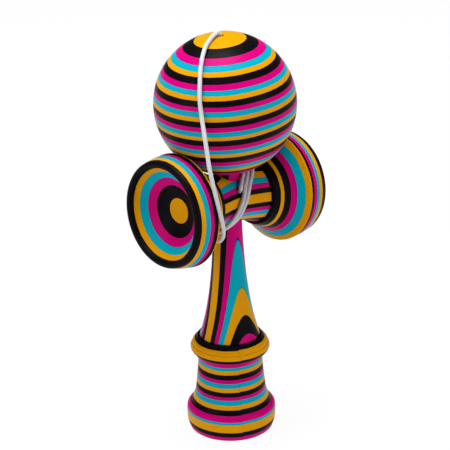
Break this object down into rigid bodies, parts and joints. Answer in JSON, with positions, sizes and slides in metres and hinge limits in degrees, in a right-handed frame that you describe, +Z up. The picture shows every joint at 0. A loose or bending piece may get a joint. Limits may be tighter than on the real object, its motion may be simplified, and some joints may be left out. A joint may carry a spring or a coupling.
{
  "type": "kendama",
  "caption": "Striped wooden cup-and-ball toy: turned stem with spike, crossbar with side cups, base cup, and a bored ball tied on by a string.",
  "frame": {"origin": "on the ken's axis, at the flat rim the base cup stands on", "axes": "+Z up the stem to the spike, +X along the crossbar to the big cup, -Y to the side with the string hole"},
  "size_m": [0.0772, 0.06, 0.1808],
  "materials": {
    "stem_wood": "satin lacquer over dyed upright layers",
    "base_wood": "satin lacquer over dyed level layers",
    "bar_wood": "satin lacquer over dyed level layers",
    "cup_wood": "satin lacquer over dyed layers across the bar",
    "ball_wood": "satin lacquer over dyed level layers",
    "string": "matte braided cord",
    "bead": "satin"
  },
  "bodies": {
    "ken": {"ken_stem": "stem_wood", "base_cup": "base_wood", "crossbar": "bar_wood", "small_cup": "cup_wood", "big_cup": "cup_wood", "anchor_knot": "string", "string_winding": "string", "string_fall": "string"},
    "string_end": {"string_bead": "bead", "bead_knot": "string", "string_over_tama": "string"},
    "tama": {"tama": "ball_wood"}
  },
  "joints": [
    {"name": "tama_lift", "type": "slide", "parent": "ken", "child": "string_end", "axis": [0, 0, 1], "range_m": [0, 0.042]},
    {"name": "tama_spin", "type": "hinge", "parent": "string_end", "child": "tama", "pos_m": [0, 0, 0.1489], "axis": [-0.0942, -0.0187, 0.9954], "continuous": true}
  ]
}
